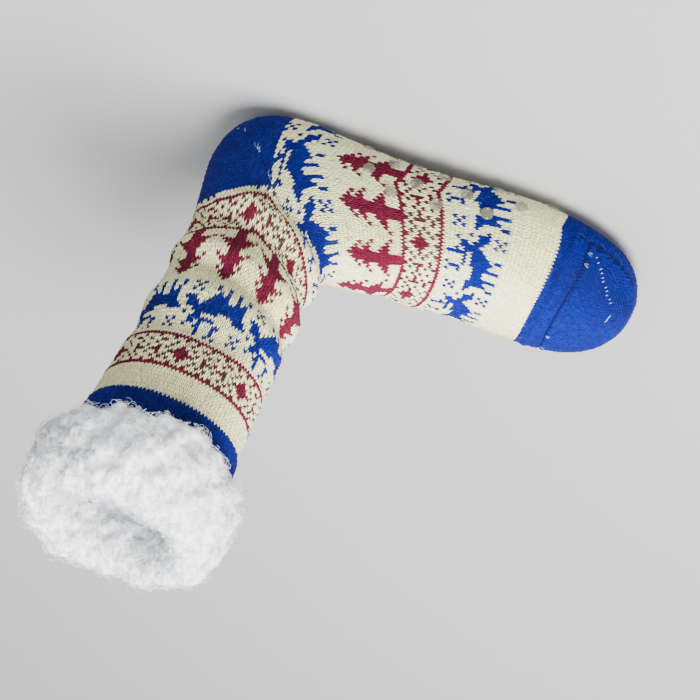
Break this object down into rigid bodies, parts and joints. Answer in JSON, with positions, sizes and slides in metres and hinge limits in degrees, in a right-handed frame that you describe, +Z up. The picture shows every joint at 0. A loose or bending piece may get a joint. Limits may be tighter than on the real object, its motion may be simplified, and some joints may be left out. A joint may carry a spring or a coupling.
{
  "type": "slipper sock",
  "caption": "Knitted slipper sock lined with fleece, with a turned-out fleece collar and silicone grip dots under the sole; it stands empty and open at the top.",
  "frame": {"origin": "middle of the bounding box's floor rectangle, on the floor the sock stands on", "axes": "+Z up the leg, +X from the heel to the toe, +Y to the side that faces the camera"},
  "size_m": [0.2456, 0.0874, 0.2814],
  "materials": {
    "knit": "jacquard knit of cream, crimson and royal blue yarn",
    "fleece": "curled white pile",
    "silicone": "translucent, satin"
  },
  "bodies": {
    "root": {"knit_sock": "knit", "sherpa_lining": "fleece", "sherpa_cuff": "fleece", "grip_dot_01": "silicone", "grip_dot_02": "silicone", "grip_dot_03": "silicone", "grip_dot_04": "silicone", "grip_dot_05": "silicone", "grip_dot_06": "silicone", "grip_dot_07": "silicone", "grip_dot_08": "silicone", "grip_dot_09": "silicone", "grip_dot_10": "silicone", "grip_dot_11": "silicone", "grip_dot_12": "silicone", "grip_dot_13": "silicone", "grip_dot_14": "silicone", "grip_dot_15": "silicone", "grip_dot_16": "silicone", "grip_dot_17": "silicone", "grip_dot_18": "silicone", "grip_dot_19": "silicone", "grip_dot_20": "silicone", "grip_dot_21": "silicone", "grip_dot_22": "silicone", "grip_dot_23": "silicone", "grip_dot_24": "silicone", "grip_dot_25": "silicone", "grip_dot_26": "silicone", "grip_dot_27": "silicone", "grip_dot_28": "silicone", "grip_dot_29": "silicone", "grip_dot_30": "silicone", "grip_dot_31": "silicone", "grip_dot_32": "silicone", "grip_dot_33": "silicone", "grip_dot_34": "silicone", "grip_dot_35": "silicone", "grip_dot_36": "silicone", "grip_dot_37": "silicone", "grip_dot_38": "silicone", "grip_dot_39": "silicone"}
  },
  "joints": []
}
